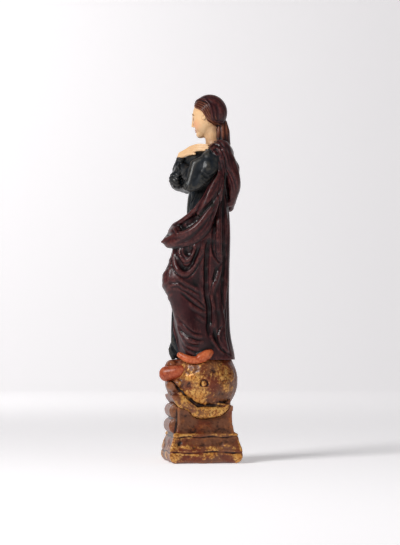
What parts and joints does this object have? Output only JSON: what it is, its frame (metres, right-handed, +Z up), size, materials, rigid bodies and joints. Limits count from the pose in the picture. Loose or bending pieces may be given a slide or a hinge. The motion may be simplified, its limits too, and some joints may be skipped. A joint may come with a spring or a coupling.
{
  "type": "carved and painted Virgin statue on a globe and plinth",
  "caption": "Carved, painted and gilded wooden Virgin with crossed hands, standing on a globe in a square moulded plinth.",
  "frame": {"origin": "centre of the plinth's underside, which rests on the floor", "axes": "+Z up, the figure faces -Y, her left hand side is +X"},
  "size_m": [0.1172, 0.1079, 0.5],
  "materials": {
    "painted_wood": "satin",
    "gilded_wood": "satin",
    "plinth_wood": "satin"
  },
  "bodies": {
    "root": {"figure": "painted_wood", "globe": "gilded_wood", "plinth": "plinth_wood"}
  },
  "joints": []
}
